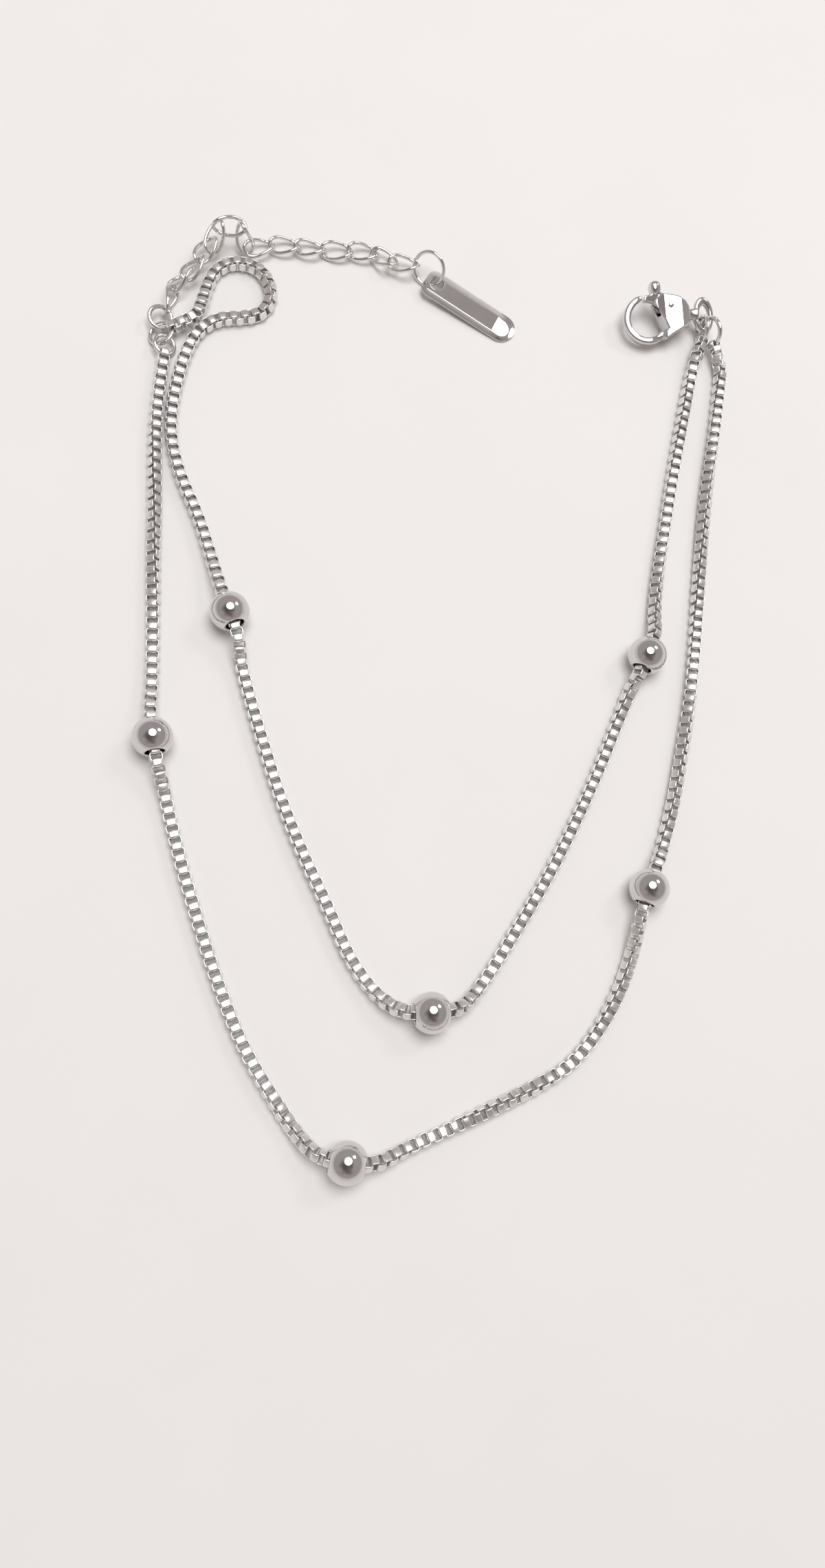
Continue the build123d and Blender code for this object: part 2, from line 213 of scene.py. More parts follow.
class BeadSettings(bpy.types.PropertyGroup):
    """Sizes of the ball beads."""

    diameter: bpy.props.FloatProperty(name="Diameter", description="Ball bead", default=5.0 * MM, unit="LENGTH")
    bore: bpy.props.FloatProperty(name="Bore", description="Hole through a bead", default=2.35 * MM, unit="LENGTH")
    lip: bpy.props.FloatProperty(name="Lip", description="Rounding of the bore's edge",
                                 default=0.18 * MM, unit="LENGTH")


class ExtenderSettings(bpy.types.PropertyGroup):
    """Sizes of the curb links."""

    length: bpy.props.FloatProperty(name="Length", description="Curb link, outside", default=4.8 * MM, unit="LENGTH")
    width: bpy.props.FloatProperty(name="Width", description="Curb link, outside", default=2.8 * MM, unit="LENGTH")
    wire: bpy.props.FloatProperty(name="Wire", description="Wire of a curb link", default=0.5 * MM, unit="LENGTH")
    twist: bpy.props.FloatProperty(name="Twist", description="Turn of each end against the link's middle",
                                   default=math.radians(-40.0), subtype="ANGLE")
    fullness: bpy.props.FloatProperty(name="Fullness", description="1 for an ellipse, less for a fuller oval",
                                      default=0.85, min=0.4, max=1.0)


class TagSettings(bpy.types.PropertyGroup):
    """Sizes of the tag."""

    length: bpy.props.FloatProperty(name="Length", description="Tag, end to end", default=14.4 * MM, unit="LENGTH")
    width: bpy.props.FloatProperty(name="Width", description="Tag, across", default=4.2 * MM, unit="LENGTH")
    thickness: bpy.props.FloatProperty(name="Thickness", description="Tag at its panel",
                                       default=0.8 * MM, unit="LENGTH")
    bevel: bpy.props.FloatProperty(name="Bevel", description="Width of the sloped border",
                                   default=0.85 * MM, unit="LENGTH")
    drop: bpy.props.FloatProperty(name="Bevel drop", description="How far the border slopes down",
                                  default=0.58 * MM, unit="LENGTH")
    end_facet: bpy.props.FloatProperty(name="End facet", description="Length of the slope at the round end",
                                       default=3.1 * MM, unit="LENGTH")
    hole: bpy.props.FloatProperty(name="Hole", description="Hole for the tag's ring", default=1.9 * MM, unit="LENGTH")
    hole_inset: bpy.props.FloatProperty(name="Hole inset", description="From the ringed end to the hole's middle",
                                        default=1.8 * MM, unit="LENGTH")
    corner: bpy.props.FloatProperty(name="Corner", description="Corners of the ringed end",
                                    default=1.2 * MM, unit="LENGTH")


class ClaspSettings(bpy.types.PropertyGroup):
    """Sizes of the lobster clasp."""

    depth: bpy.props.FloatProperty(name="Body depth", description="Across the clasp's body",
                                   default=2.8 * MM, unit="LENGTH")
    hook_width: bpy.props.FloatProperty(name="Hook width", description="Hook, in the clasp's plane",
                                        default=1.0 * MM, unit="LENGTH")
    hook_depth: bpy.props.FloatProperty(name="Hook depth", description="Hook, across the plane",
                                        default=1.5 * MM, unit="LENGTH")
    hook_radius: bpy.props.FloatProperty(name="Hook radius", description="Middle of the hook's bar",
                                         default=2.98 * MM, unit="LENGTH")
    slot: bpy.props.FloatProperty(name="Gate slot", description="Slot that the gate swings in",
                                  default=1.4 * MM, unit="LENGTH")
    gate_depth: bpy.props.FloatProperty(name="Gate depth", description="Gate lever, across the plane",
                                        default=1.1 * MM, unit="LENGTH")
    pin: bpy.props.FloatProperty(name="Pin", description="Hinge pin", default=0.8 * MM, unit="LENGTH")


class FinishSettings(bpy.types.PropertyGroup):
    """Colours of the steel."""

    steel: bpy.props.StringProperty(name="Steel", description="Polished stainless steel, sRGB hex", default="#DEDEDF")
    strip_steel: bpy.props.StringProperty(name="Strip steel", description="Rolled strip, sRGB hex",
                                          default="#EEEDEC")
    wire_steel: bpy.props.StringProperty(name="Wire steel", description="Drawn wire, sRGB hex", default="#E8E7E6")


class StageSettings(bpy.types.PropertyGroup):
    """Floor, lamps and surroundings."""

    paper: bpy.props.StringProperty(name="Floor", description="Pale card, sRGB hex", default="#EFECEA")
    room: bpy.props.StringProperty(name="Room", description="Dim room above, sRGB hex", default="#AEA6A4")
    shade: bpy.props.StringProperty(name="Shade", description="Darkest side of the room, sRGB hex",
                                    default="#615653")
    horizon: bpy.props.StringProperty(name="Horizon", description="Far wall, sRGB hex", default="#E1DBD8")
    top_light: bpy.props.FloatProperty(name="Top lamp", description="Radiance of the round lamp overhead",
                                       default=5.95, min=0.0)
    side_light: bpy.props.FloatProperty(name="Side lamp", description="Radiance of the lamp at the upper right",
                                        default=6.0, min=0.0)


GROUPS = {
    "anklet_strands": StrandSettings,
    "anklet_beads": BeadSettings,
    "anklet_extender": ExtenderSettings,
    "anklet_tag": TagSettings,
    "anklet_clasp": ClaspSettings,
    "anklet_finish": FinishSettings,
    "anklet_stage": StageSettings,
}


# ---- materials ----

def colour(text):
    """An sRGB hex colour as a linear RGBA."""
    parts = [int(text[i:i + 2], 16) / 255 for i in (1, 3, 5)]
    return [c / 12.92 if c <= 0.04045 else ((c + 0.055) / 1.055) ** 2.4 for c in parts] + [1.0]


def add(tree, kind, settings=None, links=None):
    """A node with its settings and links. A setting's key is a property or an input; a link's value is a socket."""
    node = tree.nodes.new(kind)
    for key, value in (settings or {}).items():
        if isinstance(key, int) or key in node.inputs:
            node.inputs[key].default_value = value
        else:
            setattr(node, key, value)
    for key, source in (links or {}).items():
        tree.links.new(source, node.inputs[key])
    return node


def new_material(name):
    """A material with an empty node tree, and that tree."""
    material = bpy.data.materials.new(name)
    material.use_nodes = True
    material.node_tree.nodes.clear()
    return material, material.node_tree


def steel(name, tone_setting, roughness, wear, grain_mm, wave_mm, bump):
    """Stainless steel, of a colour in the finish settings. wear is how far the roughness strays.

    Real polishing grain is a few thousandths of a millimetre, too fine to show, so it is drawn at grain_mm. wave_mm
    is the length of the slow unevenness that tumbling and buffing leave.
    """
    material, tree = new_material(name)
    base = colour(getattr(bpy.context.scene.anklet_finish, tone_setting))
    place = add(tree, "ShaderNodeTexCoord").outputs["Object"]
    grain = add(tree, "ShaderNodeTexNoise", {"Scale": 1 / (grain_mm * MM), "Detail": 6.0, "Roughness": 0.6},
                {"Vector": place})
    wave = add(tree, "ShaderNodeTexNoise", {"Scale": 1 / (wave_mm * MM), "Detail": 2.0}, {"Vector": place})
    stretched = add(tree, "ShaderNodeMapping", {"Scale": (1.0, 9.0, 1.0), "Rotation": (0.3, 0.2, 0.7)},
                    {"Vector": place})
    scuff = add(tree, "ShaderNodeTexNoise", {"Scale": 1 / (3 * grain_mm * MM), "Detail": 8.0, "Roughness": 0.7},
                {"Vector": stretched.outputs[0]})
    rough = add(tree, "ShaderNodeMapRange",
                {"From Min": 0.35, "From Max": 0.7, "To Min": max(roughness - wear, 0.02), "To Max": roughness + wear},
                {"Value": scuff.outputs["Fac"]})
    tone = add(tree, "ShaderNodeMixRGB", {"blend_type": "MULTIPLY", "Color1": base,
                                          "Color2": (0.86, 0.85, 0.84, 1.0)}, {"Fac": wave.outputs["Fac"]})
    relief = add(tree, "ShaderNodeMath", {"operation": "MULTIPLY_ADD", 1: 0.25},
                 {0: grain.outputs["Fac"], 2: wave.outputs["Fac"]})
    shape = add(tree, "ShaderNodeBump", {"Strength": bump, "Distance": 0.02 * MM}, {"Height": relief.outputs[0]})
    surface = add(tree, "ShaderNodeBsdfPrincipled", {"Metallic": 1.0},
                  {"Base Color": tone.outputs[0], "Roughness": rough.outputs[0], "Normal": shape.outputs[0]})
    add(tree, "ShaderNodeOutputMaterial", None, {"Surface": surface.outputs[0]})
    return material


def strip_steel():
    """Stainless strip, rolled and barrel-tumbled: plates flash white or go dark together, edges stay soft."""
    return steel("stainless strip, rolled and tumbled", "strip_steel",
                 roughness=0.32, wear=0.06, grain_mm=0.08, wave_mm=0.9, bump=0.15)


def ball_steel():
    """Stainless ball, polished to a mirror: a sharp reflection of the card, the lamps and the dim room."""
    return steel("stainless ball, mirror polished", "steel",
                 roughness=0.09, wear=0.03, grain_mm=0.15, wave_mm=2.4, bump=0.12)


def wire_steel():
    """Stainless wire, drawn and tumbled: thin running highlights with grey between them."""
    return steel("stainless wire, drawn and tumbled", "wire_steel",
                 roughness=0.14, wear=0.06, grain_mm=0.06, wave_mm=0.8, bump=0.25)


def cast_steel():
    """Stainless casting, ground and polished: broad bright faces with slightly uneven reflections."""
    return steel("stainless casting, ground and polished", "steel",
                 roughness=0.11, wear=0.05, grain_mm=0.12, wave_mm=1.6, bump=0.3)


def plate_steel():
    """Stainless plate, blanked, bevelled and buffed: a flat panel that mirrors the dim room, with pale borders."""
    return steel("stainless plate, bevelled and buffed", "steel",
                 roughness=0.09, wear=0.04, grain_mm=0.1, wave_mm=2.0, bump=0.15)


def card(hex_colour):
    """Uncoated card, calendered: matt and almost flat, with faint fibres and a little mottling.

    Single fibres are about 0.03 mm and too fine to show, so they are drawn as tufts of 0.5 mm.
    """
    material, tree = new_material("uncoated card, calendered")
    place = add(tree, "ShaderNodeTexCoord").outputs["Object"]
    mottle = add(tree, "ShaderNodeTexNoise", {"Scale": 1 / (22 * MM), "Detail": 3.0}, {"Vector": place})
    fibre = add(tree, "ShaderNodeTexNoise", {"Scale": 1 / (0.5 * MM), "Detail": 5.0}, {"Vector": place})
    base = colour(hex_colour)
    tone = add(tree, "ShaderNodeMixRGB", {"blend_type": "MIX", "Color1": base,
                                          "Color2": [c * 0.965 for c in base[:3]] + [1.0]},
               {"Fac": mottle.outputs["Fac"]})
    shape = add(tree, "ShaderNodeBump", {"Strength": 0.06, "Distance": 0.03 * MM}, {"Height": fibre.outputs["Fac"]})
    surface = add(tree, "ShaderNodeBsdfPrincipled", {"Roughness": 0.85, "Specular IOR Level": 0.25},
                  {"Base Color": tone.outputs[0], "Normal": shape.outputs[0]})
    add(tree, "ShaderNodeOutputMaterial", None, {"Surface": surface.outputs[0]})
    return material


# ---- shape helpers, which work in millimetres; new_piece turns the result to metres ----

def settings_mm(group, *names):
    """Lengths of a settings group in millimetres."""
    return [getattr(group, name) / MM for name in names]


def placed(name, data):
    """An object of some data, put into the scene."""
    holder = bpy.data.objects.new(name, data)
    bpy.context.scene.collection.objects.link(holder)
    return holder


def new_piece(name, points, faces, material, normals=None, stands_for=(), body="anklet"):
    """A mesh object from millimetre points, shaded smooth, riding on its body in place of its CAD nodes."""
    mesh = bpy.data.meshes.new(name)
    mesh.from_pydata(((np.asarray(points) + ORIGIN_SHIFT) * MM).tolist(), [], [list(map(int, f)) for f in faces])
    mesh.validate()
    mesh.polygons.foreach_set("use_smooth", [True] * len(mesh.polygons))
    if normals is not None:
        mesh.normals_split_custom_set_from_vertices(np.asarray(normals).tolist())
    mesh.materials.append(material)
    piece = placed(name, mesh)
    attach(piece, body)
    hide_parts(*stands_for)
    return piece


def unit(vectors):
    """The vectors, made one long."""
    vectors = np.asarray(vectors, dtype=float)
    return vectors / np.linalg.norm(vectors, axis=-1, keepdims=True)


def turned(heading, climb, roll):
    """Rotation matrix: roll about x, then climb, then heading, in degrees."""
    turn = (Matrix.Rotation(math.radians(heading), 3, "Z") @ Matrix.Rotation(math.radians(-climb), 3, "Y")
            @ Matrix.Rotation(math.radians(roll), 3, "X"))
    return np.array(turn)


def circle(count):
    """The angles of count points round a circle."""
    return np.arange(count) * 2 * math.pi / count


def lattice(rows, columns, close_rows, close_columns):
    """Quads over a grid of points that is numbered row by row."""
    faces = []
    for i in range(rows if close_rows else rows - 1):
        for j in range(columns if close_columns else columns - 1):
            k, m = (i + 1) % rows, (j + 1) % columns
            faces.append((i * columns + j, k * columns + j, k * columns + m, i * columns + m))
    return faces


def capped(rows, sides):
    """Quads round a bar of several sections, and a face over each end."""
    return lattice(rows, sides, False, True) + [tuple(range(sides))[::-1],
                                                tuple(range((rows - 1) * sides, rows * sides))]


def tube(points, sideways, radius, sides, closed):
    """Round wire along points. sideways gives a direction that isn't along the wire at each point."""
    ahead = np.roll(points, -1, 0) - np.roll(points, 1, 0)
    if not closed:
        ahead[0], ahead[-1] = points[1] - points[0], points[-1] - points[-2]
    ahead = unit(ahead)
    side = unit(sideways - ahead * (sideways * ahead).sum(1, keepdims=True))
    other = np.cross(ahead, side)
    angles = circle(sides)
    out = np.cos(angles)[None, :, None] * side[:, None] + np.sin(angles)[None, :, None] * other[:, None]
    skin = (points[:, None] + radius * out).reshape(-1, 3)
    return skin, lattice(len(points), sides, True, True) if closed else capped(len(points), sides)


def flipped(faces):
    """The faces, wound the other way."""
    return [tuple(reversed(face)) for face in faces]


def signed_power(values, exponent):
    """A power that keeps the sign. Below 1, it swells a circle's sine and cosine to a fuller, squarer round."""
    return np.sign(values) * np.abs(values) ** exponent


def evaluated(holder):
    """Points and faces of an object with its modifiers; the object and its data are then removed."""
    bpy.context.view_layer.update()
    result = bpy.data.meshes.new_from_object(holder.evaluated_get(bpy.context.evaluated_depsgraph_get()))
    points = np.array([vertex.co[:] for vertex in result.vertices])
    faces = [tuple(polygon.vertices) for polygon in result.polygons]
    source = holder.data
    bpy.data.objects.remove(holder)
    bpy.data.batch_remove([source, result])
    return points, faces


# ---- box chain ----

def rim_towards(name, target):
    """Where a strand leaves a ring's rim: the point, the way out and the ring's own direction there."""
    centre, normal, radius, _, _ = RINGS[name]
    normal = unit(normal)
    out = np.array(target) - centre
    out = unit(out - normal * out.dot(normal))
    return centre + out * radius, out, np.cross(normal, out)


def strand_points(strand):
    """Control points and rolls of a strand, with a straight run through every bead."""
    points, rolls = [], []
    for stop in strand["route"]:
        if isinstance(stop[0], str):
            x, y, heading, climb = BEADS[stop[0]]
            along = turned(heading, climb, 0)[:, 0]
            points += [np.array([x, y, BEAD_Z]) + along * reach for reach in (-BEAD_RUN, BEAD_RUN)]
            rolls += stop[1:]
        else:
            points.append(np.array(stop[:3]))
            rolls.append(stop[3])
    first, last = (rim_towards(ring, end) for ring, end in zip(strand["rings"], (points[0], points[-1])))
    for at, (rim, out, _) in ((0, first), (len(points) + 1, last)):
        points.insert(at, rim + out * RING_PLAY)
        rolls.insert(at, rolls[0] if at == 0 else rolls[-1])
    return points, rolls, (first, last)


def smooth_line(points):
    """Points along the NURBS curve that has these control points."""
    data = bpy.data.curves.new("route", "CURVE")
    data.dimensions = "3D"
    spline = data.splines.new("NURBS")
    spline.points.add(len(points) - 1)
    for knot, point in zip(spline.points, points):
        knot.co = (*point, 1.0)
    spline.order_u = 3
    spline.use_endpoint_u = True
    spline.resolution_u = 24
    return evaluated(placed("route", data))[0]


def box_link(group):
    """One box link: a strip bent into an upright rectangle round the y axis. Points, faces and normals."""
    length, width, strip, thickness, corner, crown = settings_mm(
        group, "length", "width", "strip", "thickness", "corner", "crown")
    dome = math.radians(PLATE_DOME)
    half_x, half_z = ((size - thickness) / 2 - corner - PLATE_RISE for size in (length, width))
    middles, outs = [], []
    for quarter, (sx, sz) in enumerate(((1, 1), (-1, 1), (-1, -1), (1, -1))):
        square = math.pi / 2 * quarter
        for angle in (square, *np.linspace(square + dome, square + math.pi / 2 - dome, 4)):
            out = np.array([math.cos(angle), 0.0, math.sin(angle)])
            reach = np.array([sx * half_x, 0.0, sz * half_z]) + corner * out
            middles.append(out * (abs(reach.dot(out)) + PLATE_RISE) if angle == square else reach)
            outs.append(out)
    across = np.array([0.0, 1.0, 0.0])
    skin, half = thickness / 2, strip / 2
    edge, tilt, low = skin - crown / 2, 2 * crown / half, skin - crown
    turn = EDGE_ROUNDING * edge
    # Each point of the strip's section: how far out and across it is, and its normal's two parts.
    section = [(low, half - edge, 1.0, tilt), (skin, 0.0, 1.0, 0.0), (low, edge - half, 1.0, -tilt),
               (low - turn, turn - half, 0.7, -0.7), (edge - skin, -half, 0.0, -1.0), (-skin, edge - half, -1.0, 0.0),
               (-skin, half - edge, -1.0, 0.0), (edge - skin, half, 0.0, 1.0), (low - turn, half - turn, 0.7, 0.7)]
    points = [m + out * n + across * y for m, out in zip(middles, outs) for n, y, _, _ in section]
    normals = [unit(out * a + across * b) for out in outs for _, _, a, b in section]
    return np.array(points), lattice(len(middles), len(section), True, True), np.array(normals)


def link_places(strand, pitch, width):
    """Place, forward, sideways and upward direction of every box link along a strand."""
    points, rolls, (first, last) = strand_points(strand)
    line = smooth_line(points)
    run = np.concatenate([[0.0], np.cumsum(np.linalg.norm(np.diff(line, axis=0), axis=1))])
    count = int(run[-1] / pitch) + 1
    stations = np.linspace(0.0, run[-1], count)

    def at(distance):
        return np.stack([np.interp(distance, run, line[:, axis]) for axis in range(3)], 1)

    marks = [run[np.linalg.norm(line - point, axis=1).argmin()] for point in points]
    reach = pitch * 0.7  # a link lies along the line between the places this far before and after it
    ahead = unit(at(np.minimum(stations + reach, run[-1])) - at(np.maximum(stations - reach, 0.0)))
    side = unit(np.cross(np.array([0.0, 0.0, 1.0]), ahead))
    up = np.cross(ahead, side)
    roll = np.radians(np.interp(stations, marks, rolls))
    for (_, _, wire_way), end, step in ((first, 0, 1), (last, count - 1, -1)):
        hold = math.atan2(up[end].dot(wire_way), side[end].dot(wire_way)) + (math.pi / 2 if end % 2 else 0.0)
        hold -= math.pi * round((hold - roll[end]) / math.pi)
        for k in range(HELD_LINKS):
            roll[end + step * k] += (hold - roll[end + step * k]) * (1 - k / HELD_LINKS) ** 2
    roll += np.random.default_rng(7).normal(0.0, math.radians(ROLL_SCATTER), count)
    place = at(stations)
    # A turned link stands on a corner, so its middle lies at least this high above the floor.
    half, cos, sin = width / 2, abs(np.cos(roll)), abs(np.sin(roll))
    stand = np.maximum(half * cos + STRIP_REACH * sin, half * sin + STRIP_REACH * cos) - half
    place[:, 2] = np.maximum(place[:, 2], half + stand)
    roll += np.arange(count) % 2 * math.pi / 2
    cos, sin = np.cos(roll)[:, None], np.sin(roll)[:, None]
    return place, ahead, side * cos + up * sin, up * cos - side * sin


class ANKLET_OT_strands(bpy.types.Operator):
    """Threads both strands with box links, each turned a quarter against the last"""

    bl_idname = "anklet.strands"
    bl_label = "Box-chain strands"

    def execute(self, context):
        group = context.scene.anklet_strands
        link, faces, normals = box_link(group)
        faces = np.array(faces)
        material = strip_steel()
        for name, strand in STRANDS.items():
            place, ahead, side, up = link_places(strand, *settings_mm(group, "pitch", "width"))
            axes = np.stack([ahead, side, up], 2)
            points = place[:, None] + np.einsum("kij,vj->kvi", axes, link)
            turned_normals = np.einsum("kij,vj->kvi", axes, normals)
            offsets = np.arange(len(place))[:, None, None] * len(link)
            new_piece(name + "_links", points.reshape(-1, 3), (faces[None] + offsets).reshape(-1, 4), material,
                      turned_normals.reshape(-1, 3), (name,))
        return {"FINISHED"}


# ---- beads, rings and curb links ----

def bead_profile(radius, bore, lip):
    """Half section of a drilled ball as (distance from the bore's axis, along it), all the way round."""
    reach = radius - lip
    lip_r = bore + lip
    lip_z = math.sqrt(reach * reach - lip_r * lip_r)
    start = math.atan2(lip_r, lip_z)
    outer = [(radius * math.sin(a), radius * math.cos(a)) for a in np.linspace(start, math.pi - start, 49)]
    turn = np.linspace(0, 1, 7)[1:]
    lower = [(lip_r + lip * math.sin(a), -lip_z + lip * math.cos(a))
             for a in (math.pi - start) + turn * (start + math.pi / 2)]
    upper = [(r, -z) for r, z in reversed(lower)]
    wall = [(bore, z) for z in np.linspace(-lip_z, lip_z, 7)[1:-1]]
    return outer + lower + wall + upper


class ANKLET_OT_beads(bpy.types.Operator):
    """Turns the six ball beads, each with a bore and a rounded lip"""

    bl_idname = "anklet.beads"
    bl_label = "Ball beads"

    def execute(self, context):
        diameter, bore, lip = settings_mm(context.scene.anklet_beads, "diameter", "bore", "lip")
        profile = bead_profile(diameter / 2, bore / 2, lip)
        sides = 96
        ball = np.array([(z, r * math.cos(a), r * math.sin(a)) for a in circle(sides) for r, z in profile])
        faces = lattice(sides, len(profile), True, True)
        material = ball_steel()
        for name, (x, y, heading, climb) in BEADS.items():
            points = ball @ turned(heading, climb, 0).T + np.array([x, y, BEAD_Z])
            new_piece("ball_" + name, points, faces, material, None, ("bead_" + name,))
        return {"FINISHED"}


class ANKLET_OT_rings(bpy.types.Operator):
    """Bends the six jump rings, each with a closed butt joint"""

    bl_idname = "anklet.rings"
    bl_label = "Jump rings"

    def execute(self, context):
        material = wire_steel()
        joint_gap = 0.04
        for name, (centre, normal, radius, wire, joint) in RINGS.items():
            normal = unit(normal)
            side = unit(np.cross(normal, (0.0, 0.0, 1.0)))
            other = np.cross(normal, side)
            open_by = joint_gap / radius
            start = math.radians(joint)
            angles = np.linspace(start + open_by / 2, start + 2 * math.pi - open_by / 2, 97)
            out = np.cos(angles)[:, None] * side + np.sin(angles)[:, None] * other
            skin, faces = tube(np.array(centre) + radius * out, out, wire / 2, sides=20, closed=False)
            new_piece(name + "_wire", skin, flipped(faces), material, None, (name,))
        return {"FINISHED"}


class ANKLET_OT_extender(bpy.types.Operator):
    """Bends and twists the curb links of the extender"""

    bl_idname = "anklet.extender"
    bl_label = "Curb-link extender"

    def execute(self, context):
        group = context.scene.anklet_extender
        length, width, wire = settings_mm(group, "length", "width", "wire")
        angles = circle(72)
        reach = signed_power(np.cos(angles), group.fullness)
        side = (width - wire) / 2 * signed_power(np.sin(angles), group.fullness)
        twist = group.twist * reach
        line = np.stack([(length - wire) / 2 * reach, side * np.cos(twist), side * np.sin(twist)], 1)
        skin, faces = tube(line, line, wire / 2, sides=16, closed=True)
        material = wire_steel()
        for index, (x, y, z, heading, climb, roll) in enumerate(EXTENDER, 1):
            points = skin @ turned(heading, climb, roll).T + np.array([x, y, z])
            new_piece(f"curb_link_{index:02d}", points, flipped(faces), material, None,
                      (f"extender_link_{index:02d}",))
        return {"FINISHED"}


# ---- tag ----

def tag_outline(group, inset):
    """The tag's outline, anticlockwise: round at the free end, squarer at the ringed end."""
    length, width, corner = settings_mm(group, "length", "width", "corner")
    half_length, half_width = length / 2 - inset, width / 2 - inset
    corner = max(corner - inset, 0.25)
    points = []
    for angle in np.linspace(-math.pi / 2, math.pi / 2, 33):
        points.append((half_length - half_width + half_width * math.cos(angle), half_width * math.sin(angle)))
    for start, sy in ((math.pi / 2, 1), (math.pi, -1)):
        for angle in np.linspace(start, start + math.pi / 2, 9):
            points.append((corner - half_length + corner * math.cos(angle),
                           sy * (half_width - corner) + corner * math.sin(angle)))
    return points


class ANKLET_OT_tag(bpy.types.Operator):
    """Blanks the oblong tag, bevels its border and round end and drills it for its ring"""

    bl_idname = "anklet.tag"
    bl_label = "Tag"

    def execute(self, context):
        group = context.scene.anklet_tag
        length, thickness, bevel, drop, facet, hole, inset = settings_mm(
            group, "length", "thickness", "bevel", "drop", "end_facet", "hole", "hole_inset")
        top, base = thickness / 2, -thickness / 2
        shoulder = top - drop
        # Loops from the underside up: how far in from the outline, and how high.
        steps = [(0.1, base), (0.03, base + 0.03), (0.0, base + 0.08), (0.0, shoulder - 0.06),
                 (0.02, shoulder - 0.02)]
        for t in np.linspace(0.0, 0.94, 8):
            steps.append((0.05 + (bevel - 0.05) * t, shoulder + drop * (1.06 * t - 0.06 * t * t)))
        steps += [(bevel, top - 0.006), (bevel + 0.07, top)]
        loops = [[(x, y - PANEL_SHIFT * min(step / bevel, 1.0) ** 1.3, z) for x, y in tag_outline(group, step)]
                 for step, z in steps]
        middle = inset - length / 2
        # The hole from the top down: its radius, and how high.
        around = [(math.cos(a), math.sin(a)) for a in np.linspace(0, 2 * math.pi, 49)[:-1]]
        hole_steps = [(hole / 2 + 0.1, top), (hole / 2 + 0.03, top - 0.03), (hole / 2, top - 0.1),
                      (hole / 2, base + 0.1), (hole / 2 + 0.03, base + 0.03), (hole / 2 + 0.1, base)]
        bores = [[(middle + x * r, y * r, z) for x, y in around] for r, z in hole_steps]
        build = bmesh.new()
        rings = [[build.verts.new(point) for point in loop] for loop in loops]
        holes = [[build.verts.new(point) for point in loop] for loop in bores]
        for stack in (rings, holes):
            for lower, upper in pairwise(stack):
                for j in range(len(lower)):
                    k = (j + 1) % len(lower)
                    build.faces.new((lower[j], lower[k], upper[k], upper[j]))
        for outer, inner in ((rings[-1], holes[0]), (rings[0], holes[-1])):
            edges = []
            for loop in (outer, inner):
                for j, vertex in enumerate(loop):
                    both = (vertex, loop[(j + 1) % len(loop)])
                    edges.append(build.edges.get(both) or build.edges.new(both))
            bmesh.ops.triangle_fill(build, use_beauty=True, edges=edges)
        bmesh.ops.recalc_face_normals(build, faces=build.faces)
        # Cuts across the plate, so that the end facet can start with a short turn and skew over the next part.
        start, turn = length / 2 - facet, 0.1
        for station in (-turn, 0.0, turn, 0.3, 0.7, 1.1, 1.5):
            bmesh.ops.bisect_plane(build, geom=[*build.verts, *build.edges, *build.faces],
                                   plane_co=(start + station, 0, 0), plane_no=(1, 0, 0))
        for vertex in build.verts:
            past = vertex.co.x - start
            if vertex.co.z > shoulder and past > -turn:
                slope = max(past, 0.0) if abs(past) > turn else (past + turn) ** 2 / (4 * turn)
                skew = END_SKEW * vertex.co.y * min(slope / 0.4, 1.0)
                vertex.co.z = shoulder + (vertex.co.z - shoulder) * (1 - END_FALL * slope / facet) - skew
        pose = turned(TAG_HEADING, TAG_PITCH, 0)
        build.verts.index_update()
        points = np.array([vertex.co[:] for vertex in build.verts]) @ pose.T + np.array(TAG_CENTRE)
        faces = [[vertex.index for vertex in face.verts] for face in build.faces]
        build.free()
        piece = new_piece("tag_plate", points, faces, plate_steel(), None, ("tag",))
        piece.modifiers.new("even_shading", "WEIGHTED_NORMAL")
        return {"FINISHED"}


# ---- clasp ----

def clasp_place(points):
    """Points of the clasp's own plane (u, v, w), put where the clasp lies in the tables' millimetres."""
    pose = turned(CLASP_HEADING, 0, CLASP_LEAN)
    return np.asarray(points) @ pose.T + np.array(CLASP_ORIGIN)


def scratch_mesh(points, faces):
    """A mesh to work on in the clasp's plane, which never shows."""
    mesh = bpy.data.meshes.new("scratch")
    mesh.from_pydata([tuple(map(float, p)) for p in points], [], [list(map(int, f)) for f in faces])
    return mesh


def slab(outline, depth, bevel):
    """A flat piece of the clasp with rounded edges, drawn in its plane and as deep each way."""
    build = bmesh.new()
    lower = [build.verts.new((u, v, -depth / 2)) for u, v in outline]
    base = build.faces.new(lower)
    made = bmesh.ops.extrude_face_region(build, geom=[base])
    for item in made["geom"]:
        if isinstance(item, bmesh.types.BMVert):
            item.co.z = depth / 2
    bmesh.ops.recalc_face_normals(build, faces=build.faces)
    if bevel:
        bmesh.ops.bevel(build, geom=list(build.edges), offset=bevel, segments=3, affect="EDGES", profile=0.5)
    mesh = bpy.data.meshes.new("slab")
    build.to_mesh(mesh)
    build.free()
    return mesh


def section_sweep(middles, outs, half_out, half_across, fullness):
    """A bar with a rounded-box section in the clasp's plane. outs point away from its bend."""
    sides = 32
    a = signed_power(np.cos(circle(sides)), fullness)
    b = signed_power(np.sin(circle(sides)), fullness)
    points = []
    for middle, out, h_out, h_across in zip(middles, outs, half_out, half_across):
        for i, j in zip(a, b):
            points.append((middle[0] + out[0] * h_out * i, middle[1] + out[1] * h_out * i, h_across * j))
    return scratch_mesh(points, capped(len(middles), sides))


